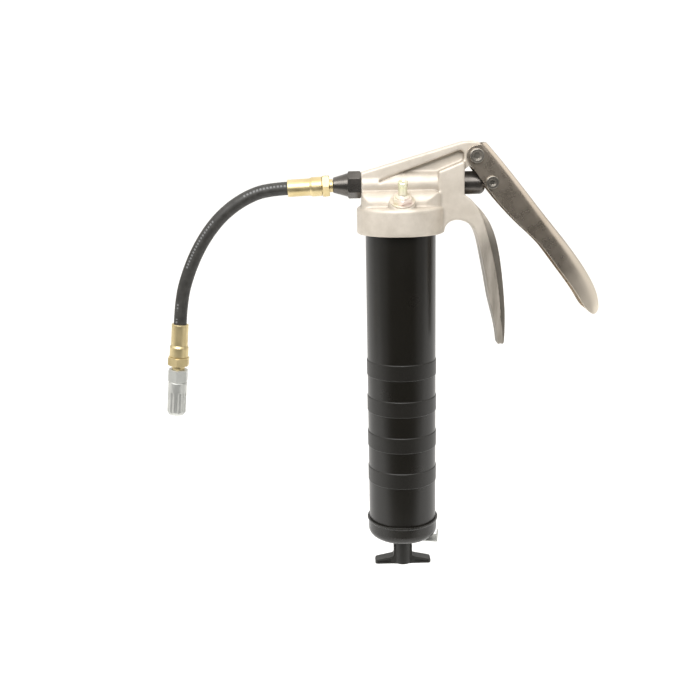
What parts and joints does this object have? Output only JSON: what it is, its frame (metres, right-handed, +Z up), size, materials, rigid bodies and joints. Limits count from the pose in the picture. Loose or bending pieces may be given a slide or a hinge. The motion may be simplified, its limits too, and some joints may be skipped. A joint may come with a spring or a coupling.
{
  "type": "pistol-grip lever grease gun",
  "caption": "Hand-operated pistol-grip grease gun: black cartridge barrel, cast head, squeeze lever, flexible outlet hose with jaw coupler, T-handle follower rod.",
  "frame": {"origin": "on the barrel's axis at the lower face of the head's collar, where the plain barrel leaves the head and a tool clip or a hand holds it", "axes": "+Z up along the barrel's axis toward the head, +X toward the lever, -X toward the outlet hose, -Y the side with the filler nipple"},
  "size_m": [0.3613, 0.0714, 0.3617],
  "materials": {
    "black_enamel": "satin black stoved enamel",
    "black_plastic": "moulded, fine texture",
    "blackened_steel": "black oxide, satin",
    "brass": "turned, lightly dulled",
    "cast_aluminium": "as-cast, bead-blasted satin",
    "dark_cap_steel": "dark grey-black paint on pressed steel",
    "fastener_steel": "dark plated",
    "ground_steel": "ground",
    "hose_rubber": "matte black hose cover",
    "nylon": "natural nylon",
    "plated_steel": "nickel-plated pressed sheet",
    "seal_rubber": "moulded",
    "spring_steel": "spring wire",
    "yellow_zinc": "yellow-passivated zinc plate",
    "zinc_steel": "bright zinc plate"
  },
  "bodies": {
    "gun": {"barrel": "black_enamel", "coupler_body": "zinc_steel", "coupler_sleeve": "zinc_steel", "coupler_spring": "spring_steel", "end_cap": "dark_cap_steel", "filler_nipple_body": "yellow_zinc", "filler_nipple_spring": "spring_steel", "follower_spring": "spring_steel", "fulcrum_bolt": "fastener_steel", "fulcrum_nut": "fastener_steel", "fulcrum_washers": "zinc_steel", "head_casting": "cast_aluminium", "head_gasket": "seal_rubber", "hose": "hose_rubber", "lock_plate_rivet": "zinc_steel", "lock_plate_spring": "spring_steel", "lower_ferrule": "brass", "lower_hose_nipple": "brass", "outlet_adapter": "blackened_steel", "outlet_check_spring": "spring_steel", "plunger_return_spring": "spring_steel", "pump_seal": "seal_rubber", "rod_bush": "nylon", "seal_retainer": "brass", "upper_ferrule": "brass", "upper_hose_nipple": "brass"},
    "lever": {"lever": "plated_steel", "push_bolt": "fastener_steel", "push_bolt_nut": "fastener_steel", "push_spacer": "ground_steel"},
    "plunger": {"plunger": "ground_steel", "plunger_cap": "blackened_steel"},
    "outlet_ball": {"outlet_check_ball": "ground_steel"},
    "filler_ball": {"filler_nipple_ball": "ground_steel"},
    "jaws": {"coupler_jaws": "ground_steel", "coupler_seal": "seal_rubber", "coupler_washer": "ground_steel"},
    "follower": {"follower_cup": "seal_rubber", "follower_plates": "zinc_steel"},
    "rod": {"follower_rod": "zinc_steel", "handle_pin": "zinc_steel", "rod_clip": "spring_steel", "rod_end_nut": "zinc_steel", "t_handle": "black_plastic"},
    "lock_plate": {"rod_lock_plate": "zinc_steel"}
  },
  "joints": [
    {"name": "lever_hinge", "type": "hinge", "parent": "gun", "child": "lever", "pos_m": [0.0597, 0, 0.0608], "axis": [0, 1, 0], "range_deg": [0, 18], "stiffness_Nm_per_rad": 0.77, "springref_deg": -41.83},
    {"name": "plunger_slide", "type": "slide", "parent": "gun", "child": "plunger", "axis": [-1, 0, 0], "range_m": [0, 0.0072], "deforming": ["plunger_return_spring"]},
    {"name": "outlet_ball_lift", "type": "slide", "parent": "gun", "child": "outlet_ball", "axis": [-1, 0, 0], "range_m": [0, 0.0015], "stiffness_N_per_m": 400, "springref_m": -0.001, "deforming": ["outlet_check_spring"]},
    {"name": "filler_ball_press", "type": "slide", "parent": "gun", "child": "filler_ball", "axis": [0, 0.454, -0.891], "range_m": [0, 0.0015], "stiffness_N_per_m": 300, "springref_m": -0.001, "deforming": ["filler_nipple_spring"]},
    {"name": "jaw_slide", "type": "slide", "parent": "gun", "child": "jaws", "axis": [0.1, 0, 0.995], "range_m": [0, 0.0012], "stiffness_N_per_m": 2000, "springref_m": -0.002, "deforming": ["coupler_spring"]},
    {"name": "rod_pull", "type": "slide", "parent": "gun", "child": "follower", "axis": [0, 0, -1], "range_m": [0, 0.19], "stiffness_N_per_m": 300, "springref_m": -0.02, "deforming": ["follower_spring"]},
    {"name": "rod_turn", "type": "hinge", "parent": "follower", "child": "rod", "pos_m": [0, 0, 0], "axis": [0, 0, 1], "continuous": true},
    {"name": "lock_plate_tilt", "type": "hinge", "parent": "gun", "child": "lock_plate", "pos_m": [-0.01842, 0.00259, -0.2644], "axis": [-0.1392, -0.9903, 0], "range_deg": [0, 2.5], "stiffness_Nm_per_rad": 0.2, "springref_deg": -3.44, "deforming": ["lock_plate_spring"]}
  ],
  "couplings": [
    {"joint": "plunger_slide", "follows": "lever_hinge", "m_per_rad": 0.0226}
  ]
}
